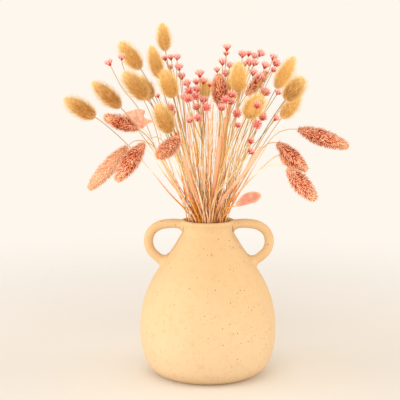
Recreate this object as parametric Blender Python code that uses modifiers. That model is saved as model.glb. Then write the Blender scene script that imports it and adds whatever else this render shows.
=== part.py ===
"""A bouquet of dried grasses and star flowers in a two-handled stoneware vase.

The origin is the middle of the vase's foot, +Z is up, and the bouquet faces -Y.
Lengths are given in millimetres and made in metres.
"""

import math
import random

import bmesh
import bpy
import numpy as np
from mathutils import Matrix, Vector

MM = 0.001

# Vase
FLOOR = 8.0
# Inner wall from the middle of the floor up to the lip, as (radius, height).
INNER_WALL = ((0, FLOOR), (42, FLOOR), (58, 13), (66.5, 27), (69.2, 50), (65.4, 80), (56.8, 103),
              (43.8, 125), (28.6, 148), (22.6, 160), (24.8, 169.6))
# Lip, then the outer wall down to the middle of the foot.
OUTER_WALL = ((27.2, 172.2), (30, 170.6), (30, 168), (28.2, 161), (33.8, 149), (49, 126), (62, 104),
              (70.8, 81), (75.2, 50), (73, 27), (66, 10.5), (58, 2.8), (53, 0), (0, 0))
TURNED_STEPS = 30
HANDLE_RADIUS = 4.8
HANDLE_STEP = 8.0
# Middle line of the ear handle on the +X side, as (distance from the axis, height).
HANDLE_LINE = ((26.4, 167.2), (41.8, 168), (52.8, 165.4), (61.2, 158.8), (65.4, 149), (63.4, 139),
               (56.8, 131.4), (46.4, 125))

# Line of sight that the bouquet is arranged for
VIEW_DISTANCE = 1300.0
VIEW_PITCH = math.radians(8)
VIEW_CENTRE = np.array([-8.8, 0, 194])
FORWARD = np.array([0, math.cos(VIEW_PITCH), -math.sin(VIEW_PITCH)])
CARD_UP = np.array([0, math.sin(VIEW_PITCH), math.cos(VIEW_PITCH)])
EYE = VIEW_CENTRE - FORWARD * VIEW_DISTANCE

# Each bunny tail is (right, up, depth) of its foot, then of its tip, then its half width.
# Right and up are measured on a card through the vase's axis, square to the line of sight.
BUNNY_TAILS = (
    ((-124, 91, -20), (-159, 112, -26), 8.0),
    ((-96, 102, -45), (-127, 130, -52), 8.2),
    ((-74, 144, 20), (-98, 175, 26), 8.6),
    ((-67, 111, -55), (-93, 141, -63), 9.0),
    ((-61, 112, -14), (-80, 140, -12), 7.6),
    ((-53, 134, 5), (-63, 171, 10), 7.4),
    ((-47, 163, 35), (-51, 194, 40), 7.2),
    ((-38, 113, -35), (-49, 145, -50), 9.4),
    ((-41, 74, -52), (-56, 105, -64), 8.4),
    ((-5, 111, 32), (-3, 134, 36), 7.4),
    ((33, 118, -50), (34, 152, -60), 9.4),
    ((43, 92, -50), (59, 114, -76), 9.8),
    ((75, 123, 12), (96, 159, 18), 7.6),
    ((85, 110, -45), (107, 136, -54), 9.0),
    ((81, 90, -4), (105, 119, 4), 7.8),
    ((22, 110, 66), (31, 143, 76), 8.0),
    ((-64, 110, 60), (-79, 138, 70), 8.0),
    ((86, 110, 52), (102, 133, 62), 8.0),
)
# The same for the canary grass, then the points that a nodding stem passes, from the head down.
CANARY_GRASS = (
    ((-77, 78, -60), (-115, 92, -70), 8.2, ((-64, 67, -54), (-53, 47, -46))),
    ((-89, 59, -30), (-130, 13, -36), 9.6,
     ((-82, 64.5, -27), (-71, 65, -24), (-61, 60, -20), (-53, 48, -16))),
    ((-70, 63, -60), (-100, 22, -68), 10.6,
     ((-65, 68, -56), (-57, 69.5, -52), (-50, 65, -46), (-45, 55, -40))),
    ((-32, 67, -70), (-54, 48, -94), 9.8, ((-29, 70, -60), (-26, 60, -50))),
    ((14, 101, -36), (12, 137, -44), 9.2, ()),
    ((42, 115, 15), (62, 138, 22), 6.6, ()),
    ((99, 78, -20), (156, 58, -32), 10.4, ((90, 78, -18), (79, 75, -16), (69, 67, -14), (60, 52, -12))),
    ((76, 63, -30), (109, 32, -42), 10.4, ((66, 62, -27), (57, 53, -23), (48, 38, -19))),
    ((87, 35, -52), (120, -2, -62), 9.8, ((81, 38, -49), (72, 39, -45), (61, 35, -39), (49, 26, -31))),
    ((79, 50, 40), (104, 35, 48), 8.6, ((69, 44, 36), (58, 34, 30))),
    ((15, 106, 62), (12, 131, 72), 8.6, ()),
    ((-84, 54, 56), (-105, 33, 64), 8.6, ((-75, 58, 52), (-64, 52, 46), (-56, 40, 40))),
)
# Star flowers in sprays, each as (right, up, depth) of its middle, its half width, and how many
# degrees it turns to the front. A spray's main stem ends in its first flower.
STAR_SPRAYS = (
    ((-109, 151, -45, 5.8, 10), (-95, 157, -52, 5.3, 0)),
    ((-41, 157, 20, 5.3, 0), (-34, 157, 4, 5.5, 5), (-32, 146, -12, 6.2, 10), (-29, 136, -4, 6, 10),
     (-46, 157, 32, 4.8, 0), (-42, 146, 38, 4.8, 0)),
    ((-9, 139, -16, 6.7, 10), (-13, 130, 6, 5.8, 10), (-23, 128, -26, 6, 15), (-5, 131, -4, 5.8, 10),
     (2, 127, 16, 4.8, 5)),
    ((-11, 121, -31, 6, 30), (-21, 120, -42, 6, 60), (-28, 113, -30, 5.8, 10), (-21, 112, -56, 6, 65),
     (-14, 112, -46, 6, 60)),
    ((-6, 110, -26, 5.8, 35), (-13, 104, -36, 5.5, 10), (-2, 102, -56, 6.2, 70), (-11, 90, -52, 5.5, 60),
     (-20, 87, -42, 4.8, 20)),
    ((-41, 101, -46, 5.8, 60), (-56, 114, 18, 3.8, 0), (-38, 96, -24, 4.1, 20)),
    ((21, 168, -4, 6.2, 0), (20, 161, 10, 4.6, 0), (16, 152, -15, 6.2, 0), (24, 148, -27, 5.3, 20),
     (10, 143, -8, 4.8, 10), (20, 139, -22, 5.8, 15)),
    ((45, 161, 26, 5, 0), (38, 160, -6, 6.2, 10), (51, 158, 10, 5.3, 5), (41, 150, 32, 4.8, 0),
     (46, 151, -20, 6, 15), (51, 149, -4, 5.5, 10), (58, 161, 6, 6.2, 5)),
    ((63, 148, -10, 6.2, 10), (64, 140, 28, 4.8, 10), (50, 141, -10, 5.8, 10), (57, 135, -20, 6, 25)),
    ((72, 157, 0, 5.8, 20), (75, 150, -16, 5.8, 20), (72, 143, -28, 4.3, 30)),
    ((63, 118, -38, 6.5, 50), (77, 118, -22, 4.8, 30), (75, 90, -18, 5.5, 5)),
    ((26, 116, -80, 5.8, 45), (25, 108, -68, 5.8, 30), (19, 110, -78, 5.8, 65), (15, 101, -66, 5.3, 25)),
    ((32, 95, -62, 6.2, 75), (33, 82, -52, 4.1, 60), (47, 65, -46, 4.8, 65), (47, 53, -56, 5.5, 20)),
    ((60, 91, -44, 6, 60), (54, 83, -66, 6.5, 75), (54, 104, -90, 5.5, 40)),
    ((31, 140, 50, 5.8, -20), (37, 126, 60, 5.8, -30), (47, 106, 68, 6, -50), (53, 97, 54, 5.8, -30)),
    ((-43, 132, 62, 5.8, -30), (-38, 121, 74, 6, -40), (-42, 62, 52, 5.8, -60), (-34, 72, 64, 5.5, -50)),
)
# Tips of the bare straws and of the flat leaf sheaths, as (right, up, depth).
STRAWS = ((-18, 96, 10), (4, 92, -12), (14, 84, 34), (40, 92, 22), (-38, 62, 16), (-16, 64, 50))
SHEATHS = ((59, 58, -40), (-27, 47, -50), (20, 91, -30), (25, 110, -16))
# Each leaf as its foot, its tip and its half width.
OVAL_LEAF = ((31, -5, -32), (59, 5, -30), 6.6)
LOBED_LEAF = ((-70, 80, -34), (-90, 97, -28), 13.0)

# Stems, and how far apart their points are
GRASS_STEM = 0.85
STAR_STEM = 0.65
LEAF_STEM = 0.6
STRAW_RADIUS = 0.95
SHEATH_HALF_WIDTH = 1.8
SHEATH_HALF_THICKNESS = 0.55
# Inside the neck a sheath wraps round its stalk, down to this share of its width.
SHEATH_WRAP = 0.55
STRAIGHT_STEP = 36.0
NODDING_STEP = 17.0
STAR_STEP = 28.0

# Where the stems stand in the vase
FAN_WIDTH = 150.0
FAN_DEPTH = 85.0
MOUTH_REACH = 20.3
MOUTH_SPACING = 4.4
MOUTH_HEIGHT = 174.0
NECK_HEIGHT = 148.0
NECK_SHARE = 0.55

# Least gap between two plants, and how readily each kind of point is pushed aside to keep it
GAP = 0.35
STEM_GIVE = 1.0
FLOWER_GIVE = 0.35
HEAD_GIVE = 0.12
LARGEST_PUSH = 0.9

# Heads: sides, rings of bracts, and how far the bracts lean to the tip, in rings
HEAD_SIDES = 8
BUNNY_RINGS = 9
CANARY_RINGS = 11
HEAD_LEAN = 0.85
# How deep the points between the bracts lie, as a share of the radius.
BUNNY_SINK = 0.8
CANARY_SINK = 0.72
HEAD_STATIONS = (0, 0.12, 0.3, 0.55, 0.8, 1.04)
HEAD_OVERHANG = 0.1
STEM_INTO_HEAD = 0.4

# Star flowers, as shares of their half width or of their cup's height
PETALS = 6
CUP_HEIGHT = 1.4
STEM_INTO_CUP = 0.22
FORK_DISTANCE = 26.0
FORK_SPREAD = 1.7
STALK_BOW = 0.12

LEAF_THICKNESS = 0.8
LEAF_ROWS = 10
LEAF_ARCH = 3.0
SMOOTH_ANGLE = math.radians(50)


def sighted(right, up, depth):
    """The point at that depth which the eye sees at right and up on the card."""
    ray = np.array([right, 0, VIEW_CENTRE[2]]) + CARD_UP * up - EYE
    return EYE + ray * (depth - EYE[1]) / ray[1]


def unit(direction):
    return direction / np.linalg.norm(direction)


def swell(along):
    """How full an egg-shaped head is there, as a share of its half width."""
    return math.sin(math.pi * min(max(along, 0.02), 0.985) ** 0.76) ** 0.55


def fair_line(points, spacings):
    """A smooth curve through the points, cut about every so many millimetres in each span."""
    points = np.array(points, float)
    chords = np.linalg.norm(np.diff(points, axis=0), axis=1)[:, None]
    slopes = np.diff(points, axis=0) / chords
    inner = (slopes[:-1] * chords[1:] + slopes[1:] * chords[:-1]) / (chords[:-1] + chords[1:])
    tangents = np.vstack([slopes[:1], inner, slopes[-1:]])
    line = [points[0]]
    for span, chord in enumerate(chords[:, 0]):
        steps = max(1, round(chord / spacings[span]))
        for t in np.linspace(0, 1, steps + 1)[1:]:
            leaving = points[span] * (1 + 2 * t) + tangents[span] * chord * t
            arriving = points[span + 1] * (3 - 2 * t) - tangents[span + 1] * chord * (1 - t)
            line.append(leaving * (1 - t) ** 2 + arriving * t * t)
    return np.array(line)


def closest_fractions(a, b, c, d):
    """How far along a-b and c-d the two segments of each pair come closest."""
    u, v, w = b - a, d - c, a - c
    uu, vv, uv = (u * u).sum(axis=1), (v * v).sum(axis=1), (u * v).sum(axis=1)
    uw, vw = (u * w).sum(axis=1), (v * w).sum(axis=1)
    tiny = 1e-9
    s = np.clip((uv * vw - vv * uw) / np.maximum(uu * vv - uv * uv, tiny), 0, 1)
    t = np.clip((uv * s + vw) / np.maximum(vv, tiny), 0, 1)
    s = np.clip((uv * t - uw) / np.maximum(uu, tiny), 0, 1)
    return s, t


class Arrangement:
    """The bouquet's skeleton: points with a radius, and the links between them that make up each plant."""

    def __init__(self):
        self.places = []
        self.radii = []
        self.give = []
        self.links = []
        self.rigid = []

    def add(self, place, radius, give):
        self.places.append(np.array(place, float))
        self.radii.append(radius)
        self.give.append(give)
        return len(self.places) - 1

    def join(self, plant, line):
        self.links += [(start, end, plant) for start, end in zip(line, line[1:])]

    def near_pairs(self, links, owners):
        """Pairs of links of different plants that could touch after a few pushes."""
        starts, ends = self.places[links[:, 0]], self.places[links[:, 1]]
        reach = np.linalg.norm(starts - ends, axis=1) / 2 + self.radii[links].max(axis=1) + 2
        distance = np.linalg.norm((starts + ends)[:, None] - (starts + ends)[None], axis=2) / 2
        return np.nonzero((distance < reach[:, None] + reach[None]) & (owners[:, None] < owners[None]))

    def settle(self, rounds=400):
        """Push touching plants apart, a little at a time, until a gap is left everywhere."""
        self.places = np.array(self.places)
        self.radii = np.array(self.radii)
        give = np.array(self.give)
        links = np.array([link[:2] for link in self.links])
        owners = np.array([link[2] for link in self.links])
        for turn in range(rounds):
            relisted = turn % 4 == 0
            if relisted:
                first, second = self.near_pairs(links, owners)
                corners = np.vstack([links[first].T, links[second].T])
            a, b, c, d = self.places[corners]
            s, t = closest_fractions(a, b, c, d)
            shares = np.stack([1 - s, s, 1 - t, t])
            apart = a + (b - a) * s[:, None] - c - (d - c) * t[:, None]
            distance = np.maximum(np.linalg.norm(apart, axis=1), 1e-6)
            short = (self.radii[corners] * shares).sum(axis=0) + GAP - distance
            if relisted and short.max() < GAP / 20:
                break
            push = apart * (np.maximum(short, 0) / distance)[:, None]
            weight = shares * give[corners]
            weight /= np.maximum((weight * shares).sum(axis=0), 0.05)
            moves = np.zeros_like(self.places)
            for corner, share, way in zip(corners, weight, (1, 1, -1, -1)):
                np.add.at(moves, corner, way * push * share[:, None])
            length = np.linalg.norm(moves, axis=1)[:, None]
            moves *= np.minimum(0.6, LARGEST_PUSH / np.maximum(length, 1e-6))
            for group in self.rigid:
                moves[group] = 2 * moves[group].mean(axis=0)
            self.places += moves


def seats_in_mouth(goals):
    """Where each stem passes the mouth: on the side that it leans to, and clear of the others."""
    seats = np.array([(goal[0] / FAN_WIDTH, goal[1] / FAN_DEPTH) for goal in goals])
    seats *= MOUTH_REACH / np.maximum(1, np.linalg.norm(seats, axis=1))[:, None]
    for _ in range(400):
        apart = seats[:, None] - seats[None]
        distance = np.linalg.norm(apart, axis=2) + MOUTH_SPACING * np.eye(len(seats))
        push = np.maximum(0, MOUTH_SPACING - distance) / distance
        seats = seats + 0.3 * (apart * push[..., None]).sum(axis=1)
        seats *= np.minimum(1, MOUTH_REACH / np.linalg.norm(seats, axis=1))[:, None]
    return seats


def stem_points(bouquet, seat, course, radius, inner_radius=None):
    """The stem's cut end on the vase's floor, its way through the neck, and its course from the mouth."""
    inner_radius = inner_radius or radius
    cut_end = (*seat, FLOOR + GAP)
    neck = (*seat * NECK_SHARE, NECK_HEIGHT)
    line = [bouquet.add(cut_end, inner_radius, 0), bouquet.add(neck, inner_radius, 0)]
    line.append(bouquet.add(course[0], radius, 0))
    line += [bouquet.add(point, radius, STEM_GIVE) for point in course[1:]]
    return line


def mouth_point(seat):
    return np.array([*seat, MOUTH_HEIGHT])


def grass_skeleton(bouquet, plant, seat, foot, tip, half_width, passing=()):
    """The points of one grass, from its cut end to the tip of its head."""
    foot, tip = sighted(*foot), sighted(*tip)
    passing = [sighted(*point) for point in reversed(passing)]
    step = NODDING_STEP if passing else STRAIGHT_STEP
    steps = [step] * (len(passing) + 1) + [math.dist(foot, tip)]
    course = fair_line([mouth_point(seat), *passing, foot, tip], steps)
    line = stem_points(bouquet, seat, course[:-2], GRASS_STEM)
    head = [bouquet.add(foot + (tip - foot) * along,
                        half_width * max(swell(along), swell(along - HEAD_OVERHANG)), HEAD_GIVE)
            for along in HEAD_STATIONS]
    bouquet.join(plant, line + head)
    bouquet.rigid.append(head)
    return line, head


def fork_for(bouquet, main, middle, top):
    """The point of the main stem from which a stalk can rise gently to a flower."""
    spread = max(FORK_DISTANCE, FORK_SPREAD * np.linalg.norm(middle - top))
    below = [index for index in main[3:-2] if np.linalg.norm(bouquet.places[index] - middle) > spread]
    return below[-1] if below else main[3]


def star_skeleton(bouquet, plant, seat, flowers):
    """The points of one spray: its main stem, then a stalk to each other flower."""
    lines = []
    top = sighted(*flowers[0][:3])
    for right, up, depth, half_width, turn in flowers:
        middle = sighted(right, up, depth)
        fork = fork_for(bouquet, lines[0], middle, top) if lines else None
        start = bouquet.places[fork] if lines else mouth_point(seat)
        turn = math.radians(turn)
        facing = unit(unit(middle - start) * math.cos(turn) + unit(EYE - middle) * math.sin(turn))
        half_cup = facing * CUP_HEIGHT * half_width / 2
        base, rim = middle - half_cup, middle + half_cup
        if lines:
            bend = (start + base) / 2 - facing * STALK_BOW * np.linalg.norm(base - start)
            line = [fork, bouquet.add(bend, STAR_STEM, STEM_GIVE)]
        else:
            course = fair_line([start, base, rim], [STAR_STEP, math.dist(base, rim)])
            line = stem_points(bouquet, seat, course[:-2], STAR_STEM)
        line += [bouquet.add(base, 1, FLOWER_GIVE), bouquet.add(rim, half_width, FLOWER_GIVE)]
        # The last link, from the rim to itself, keeps the whole width of the star clear.
        bouquet.join(plant, line + line[-1:])
        bouquet.rigid.append(line[-2:])
        lines.append(line)
    return lines


def straw_skeleton(bouquet, plant, seat, tip, radius=STRAW_RADIUS):
    """The points of a bare straw or sheath."""
    course = fair_line([mouth_point(seat), sighted(*tip)], [STRAIGHT_STEP])
    line = stem_points(bouquet, seat, course, radius, min(radius, SHEATH_HALF_WIDTH * SHEATH_WRAP))
    bouquet.join(plant, line)
    return line


def leaf_skeleton(bouquet, plant, seat, foot, tip, half_width):
    """The points of a leaf's stalk, and those along the leaf."""
    line = straw_skeleton(bouquet, plant, seat, foot, LEAF_STEM)
    foot, tip = sighted(*foot), sighted(*tip)
    leaf = [bouquet.add(foot + (tip - foot) * along, half_width * width, HEAD_GIVE)
            for along, width in ((0.3, 0.8), (0.65, 0.9), (1, 0.3))]
    bouquet.join(plant, line[-1:] + leaf)
    bouquet.rigid.append(line[-1:] + leaf)
    return line, leaf


def new_object(name, data):
    thing = bpy.data.objects.new(name, data)
    bpy.context.scene.collection.objects.link(thing)
    return thing


def evaluated_mesh(thing):
    """The mesh that the object's modifiers or curve settings make."""
    bpy.context.view_layer.update()
    return bpy.data.meshes.new_from_object(thing.evaluated_get(bpy.context.evaluated_depsgraph_get()))


def apply_modifiers(thing):
    mesh = evaluated_mesh(thing)
    thing.modifiers.clear()
    thing.data = mesh


def finished(name, built, base, tip):
    """An object from a bmesh that was built up along +Z from the origin, set to run from base to tip."""
    bmesh.ops.recalc_face_normals(built, faces=built.faces)
    turn = Vector(tip - base).to_track_quat('Z', 'Y').to_matrix().to_4x4()
    placed = Matrix.Scale(MM, 4) @ Matrix.Translation(base) @ turn
    bmesh.ops.transform(built, matrix=placed, verts=built.verts)
    mesh = bpy.data.meshes.new(name)
    built.to_mesh(mesh)
    built.free()
    return new_object(name, mesh)


def rod(name, points, radii, width=0.0, resolution=0):
    """A round rod along the points, or with a width a flat strip, as a closed mesh."""
    curve = bpy.data.curves.new(name, 'CURVE')
    curve.dimensions = '3D'
    curve.bevel_depth = MM
    curve.bevel_resolution = resolution
    curve.extrude = width * MM
    curve.use_fill_caps = True
    spline = curve.splines.new('POLY')
    spline.points.add(len(points) - 1)
    for slot, point, radius in zip(spline.points, points, radii):
        slot.co = (*(np.array(point) * MM), 1)
        slot.radius = radius
    bent = new_object(name, curve)
    mesh = evaluated_mesh(bent)
    bpy.data.objects.remove(bent)
    built = bmesh.new()
    built.from_mesh(mesh)
    bmesh.ops.remove_doubles(built, verts=built.verts, dist=0.01 * MM)
    bmesh.ops.recalc_face_normals(built, faces=built.faces)
    built.to_mesh(mesh)
    built.free()
    return new_object(name, mesh)


def fused(name, pieces):
    """One closed mesh from overlapping ones."""
    body, rest = pieces[0], pieces[1:]
    gathered = bpy.data.collections.new(name + "_pieces")
    bpy.context.scene.collection.children.link(gathered)
    for piece in rest:
        bpy.context.scene.collection.objects.unlink(piece)
        gathered.objects.link(piece)
    union = body.modifiers.new("Fuse", 'BOOLEAN')
    union.operation = 'UNION'
    union.operand_type = 'COLLECTION'
    union.collection = gathered
    union.solver = 'MANIFOLD'
    apply_modifiers(body)
    for piece in rest:
        bpy.data.objects.remove(piece)
    bpy.data.collections.remove(gathered)
    body.name = name
    body.data.name = name
    return body


def vase():
    """The turned pot, with its two ear handles luted to the neck and the shoulder."""
    profile = [(radius * MM, 0, height * MM) for radius, height in INNER_WALL + OUTER_WALL]
    mesh = bpy.data.meshes.new("vase")
    mesh.from_pydata(profile, [(index, index + 1) for index in range(len(profile) - 1)], [])
    pot = new_object("vase", mesh)
    turned = pot.modifiers.new("Turned", 'SCREW')
    turned.steps = TURNED_STEPS
    turned.render_steps = TURNED_STEPS
    turned.use_merge_vertices = True
    turned.merge_threshold = 0.01 * MM
    turned.use_normal_calculate = True
    apply_modifiers(pot)
    pieces = [pot]
    for side in (-1, 1):
        line = fair_line([(side * distance, 0, height) for distance, height in HANDLE_LINE],
                         [HANDLE_STEP] * (len(HANDLE_LINE) - 1))
        pieces.append(rod("handle", line, [HANDLE_RADIUS] * len(line), resolution=2))
    return fused("vase", pieces)


def seed_head(name, foot, tip, half_width, rings, sink, draw):
    """An ear of bracts: a checkerboard of points raised on a turned core, leaning to its tip."""
    built = bmesh.new()
    length = math.dist(foot, tip)
    lattice = []
    for ring in range(rings):
        along = (ring + 0.5) / rings
        row = []
        for side in range(HEAD_SIDES):
            raised = (ring + side) % 2 == 0
            radius = half_width * swell(along) * (draw.uniform(0.93, 1) if raised else sink)
            height = length * (along + (HEAD_LEAN / rings if raised else 0))
            angle = math.tau * (side + 0.1 * ring) / HEAD_SIDES
            row.append(built.verts.new((radius * math.cos(angle), radius * math.sin(angle), height)))
        lattice.append(row)
    foot_point = built.verts.new((0, 0, 0))
    tip_point = built.verts.new((0, 0, length * 1.03))
    for side in range(HEAD_SIDES):
        after = (side + 1) % HEAD_SIDES
        built.faces.new((foot_point, lattice[0][after], lattice[0][side]))
        built.faces.new((tip_point, lattice[-1][side], lattice[-1][after]))
        for ring in range(rings - 1):
            a, b = lattice[ring][side], lattice[ring][after]
            c, d = lattice[ring + 1][after], lattice[ring + 1][side]
            # The edge across joins the two sunk points, so each raised one is a small peak.
            if (ring + side) % 2 == 0:
                built.faces.new((a, b, d))
                built.faces.new((b, c, d))
            else:
                built.faces.new((a, b, c))
                built.faces.new((a, c, d))
    return finished(name, built, foot, tip)


def star_flower(name, base, rim, half_width, draw):
    """A papery cup that opens into a star of pointed petals, sunk in the middle."""
    built = bmesh.new()
    height = math.dist(base, rim)
    spin = draw.uniform(0, math.tau)

    def at(petal, radius, level):
        angle = spin + math.tau * petal / PETALS
        return built.verts.new((radius * half_width * math.cos(angle), radius * half_width * math.sin(angle),
                                level * height))

    heel = built.verts.new((0, 0, 0))
    eye = built.verts.new((0, 0, height * 0.42))
    waist = [at(petal, 0.44, 0.4) for petal in range(PETALS)]
    points = [at(petal, draw.uniform(0.9, 1), draw.uniform(0.94, 1.06)) for petal in range(PETALS)]
    notches = [at(petal + 0.5, 0.6, 0.76) for petal in range(PETALS)]
    for petal in range(PETALS):
        after = (petal + 1) % PETALS
        built.faces.new((heel, waist[after], waist[petal]))
        built.faces.new((waist[petal], waist[after], notches[petal]))
        built.faces.new((waist[petal], notches[petal], points[petal]))
        built.faces.new((waist[after], points[after], notches[petal]))
        built.faces.new((eye, points[petal], notches[petal]))
        built.faces.new((eye, notches[petal], points[after]))
    return finished(name, built, base, rim)


def oval(along):
    return math.sin(math.pi * along ** 1.25) ** 0.75


def lobed(along):
    return math.sin(math.pi * along) ** 0.6 * (0.72 + 0.28 * math.cos(along * 6 * math.pi))


def leaf_blade(name, foot, tip, half_width, outline, fold):
    """A thin arched leaf, facing the eye, whose two halves fold up from its rib."""
    built = bmesh.new()
    along_leaf = tip - foot
    across = unit(np.cross(along_leaf, EYE - foot))
    lift = unit(np.cross(across, along_leaf))
    grid = []
    for row in range(LEAF_ROWS + 1):
        along = row / LEAF_ROWS
        width = half_width * max(outline(along), 0.06)
        rib = foot + along_leaf * along + lift * LEAF_ARCH * math.sin(math.pi * along)
        edge = lift * fold * width
        grid.append([built.verts.new(point * MM)
                     for point in (rib + edge - across * width, rib, rib + edge + across * width)])
    for near, far in zip(grid, grid[1:]):
        for side in (0, 1):
            built.faces.new((near[side], near[side + 1], far[side + 1]))
            built.faces.new((near[side], far[side + 1], far[side]))
    mesh = bpy.data.meshes.new(name)
    built.to_mesh(mesh)
    built.free()
    blade = new_object(name, mesh)
    shell = blade.modifiers.new("Thickness", 'SOLIDIFY')
    shell.thickness = LEAF_THICKNESS * MM
    shell.offset = 0
    apply_modifiers(blade)
    return blade


def material(name, colour, roughness):
    finish = bpy.data.materials.new(name)
    finish.use_nodes = True
    shader = finish.node_tree.nodes["Principled BSDF"]
    shader.inputs["Base Color"].default_value = (*colour, 1)
    shader.inputs["Roughness"].default_value = roughness
    shader.inputs["Metallic"].default_value = 0
    finish.diffuse_color = (*colour, 1)
    return finish


def stand(thing, finish, collection):
    """Give a finished node its material and its place in the object's collection."""
    thing.data.materials.clear()
    thing.data.materials.append(finish)
    thing.data.shade_smooth()
    thing.data.set_sharp_from_angle(angle=SMOOTH_ANGLE)
    for holder in list(thing.users_collection):
        holder.objects.unlink(thing)
    collection.objects.link(thing)


def grass(name, places, skeleton, half_width, rings, sink, draw):
    """A seed head fused to its stem, which ends inside it."""
    line, head = skeleton
    foot, tip = places[head[0]], places[head[-1]]
    points = [*places[line], foot + (tip - foot) * STEM_INTO_HEAD]
    ear = seed_head(name, foot, tip, half_width, rings, sink, draw)
    return fused(name, [ear, rod(name, points, [GRASS_STEM] * len(points))])


def spray(name, places, lines, half_widths, draw):
    """Star flowers fused to their forked stem."""
    pieces = []
    for line, half_width in zip(lines, half_widths):
        base, rim = places[line[-2]], places[line[-1]]
        points = [*places[line[:-2]], base + (rim - base) * STEM_INTO_CUP]
        pieces.append(rod(name, points, [STAR_STEM] * len(points)))
        pieces.append(star_flower(name, base, rim, half_width, draw))
    return fused(name, pieces)


def sheath(name, points):
    """A flat strip of dry leaf, narrow inside the neck."""
    radii = np.full(len(points), SHEATH_HALF_THICKNESS)
    radii[:2] *= SHEATH_WRAP
    return rod(name, points, radii, SHEATH_HALF_WIDTH / SHEATH_HALF_THICKNESS - 1)


def stalked_leaf(name, places, skeleton, half_width, outline, fold):
    """A leaf fused to its thin stalk."""
    line, leaf = skeleton
    foot, tip = places[line[-1]], places[leaf[-1]]
    points = [*places[line], foot + (tip - foot) * 0.12]
    blade = leaf_blade(name, foot, tip, half_width, outline, fold)
    return fused(name, [blade, rod(name, points, [LEAF_STEM] * len(points))])


for leftover in list(bpy.data.objects):
    bpy.data.objects.remove(leftover)
whole = bpy.data.collections.new("vase_of_dried_flowers")
bpy.context.scene.collection.children.link(whole)

stoneware = material("stoneware", (0.72, 0.58, 0.42), 0.85)
bunny_fuzz = material("bunny_tail", (0.83, 0.66, 0.40), 0.9)
canary_bract = material("canary_grass", (0.78, 0.36, 0.26), 0.85)
star_petal = material("star_flower", (0.80, 0.27, 0.20), 0.8)
straw_stalk = material("straw", (0.70, 0.52, 0.30), 0.8)
dry_leaf = material("dry_leaf", (0.82, 0.45, 0.34), 0.8)

# The skeleton is laid out and settled first, so that no two plants touch.
leaves = (OVAL_LEAF, LOBED_LEAF)
goals = [tail[0] for tail in BUNNY_TAILS] + [ear[0] for ear in CANARY_GRASS]
goals += [stars[0][:3] for stars in STAR_SPRAYS] + [*STRAWS, *SHEATHS] + [leaf[0] for leaf in leaves]
seats = iter(enumerate(seats_in_mouth([sighted(*goal) for goal in goals])))
bouquet = Arrangement()
tail_bones = [grass_skeleton(bouquet, *next(seats), *tail) for tail in BUNNY_TAILS]
ear_bones = [grass_skeleton(bouquet, *next(seats), *ear) for ear in CANARY_GRASS]
spray_bones = [star_skeleton(bouquet, *next(seats), stars) for stars in STAR_SPRAYS]
straw_bones = [straw_skeleton(bouquet, *next(seats), tip) for tip in STRAWS]
sheath_bones = [straw_skeleton(bouquet, *next(seats), tip, SHEATH_HALF_WIDTH) for tip in SHEATHS]
leaf_bones = [leaf_skeleton(bouquet, *next(seats), *leaf) for leaf in leaves]
bouquet.settle()

stand(vase(), stoneware, whole)
for number, (bones, tail) in enumerate(zip(tail_bones, BUNNY_TAILS), 1):
    stand(grass(f"bunny_tail_{number:02d}", bouquet.places, bones, tail[2], BUNNY_RINGS, BUNNY_SINK,
                random.Random(number)), bunny_fuzz, whole)
for number, (bones, ear) in enumerate(zip(ear_bones, CANARY_GRASS), 1):
    stand(grass(f"canary_grass_{number:02d}", bouquet.places, bones, ear[2], CANARY_RINGS, CANARY_SINK,
                random.Random(number)), canary_bract, whole)
for number, (bones, stars) in enumerate(zip(spray_bones, STAR_SPRAYS), 1):
    stand(spray(f"star_spray_{number:02d}", bouquet.places, bones, [star[3] for star in stars],
                random.Random(number)), star_petal, whole)
for number, bones in enumerate(straw_bones, 1):
    points = bouquet.places[bones]
    stand(rod(f"straw_{number:02d}", points, [STRAW_RADIUS] * len(points)), straw_stalk, whole)
for number, bones in enumerate(sheath_bones, 1):
    stand(sheath(f"leaf_sheath_{number:02d}", bouquet.places[bones]), straw_stalk, whole)
stand(stalked_leaf("oval_leaf", bouquet.places, leaf_bones[0], OVAL_LEAF[2], oval, 0.55), dry_leaf, whole)
stand(stalked_leaf("lobed_leaf", bouquet.places, leaf_bones[1], LOBED_LEAF[2], lobed, 0.25), dry_leaf, whole)
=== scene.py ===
import math

import bpy
import numpy as np
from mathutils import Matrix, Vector
from numpy.linalg import norm


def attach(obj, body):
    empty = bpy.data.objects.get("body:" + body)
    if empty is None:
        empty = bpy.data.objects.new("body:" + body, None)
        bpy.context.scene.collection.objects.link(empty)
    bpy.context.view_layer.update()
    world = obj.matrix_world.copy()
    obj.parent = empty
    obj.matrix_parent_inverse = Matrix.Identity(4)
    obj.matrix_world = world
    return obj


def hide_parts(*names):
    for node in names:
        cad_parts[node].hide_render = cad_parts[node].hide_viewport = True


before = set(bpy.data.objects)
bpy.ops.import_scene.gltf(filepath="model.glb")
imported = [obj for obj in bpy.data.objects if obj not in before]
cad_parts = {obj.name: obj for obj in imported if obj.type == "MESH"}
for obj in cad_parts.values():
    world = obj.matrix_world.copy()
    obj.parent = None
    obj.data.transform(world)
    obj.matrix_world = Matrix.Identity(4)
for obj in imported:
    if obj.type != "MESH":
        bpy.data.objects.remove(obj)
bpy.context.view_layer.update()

# The vase. A squat pot of sandy stoneware, turned on the wheel and fired without a glaze, so it is
# matt and shows the clay's dark iron specks. Its lip is rounded, and its neck is just wide enough
# for the stems. Lengths are in millimetres from the foot's middle, or metres in materials and lamps.
MM = 0.001
FLOOR = 8.0
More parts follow.
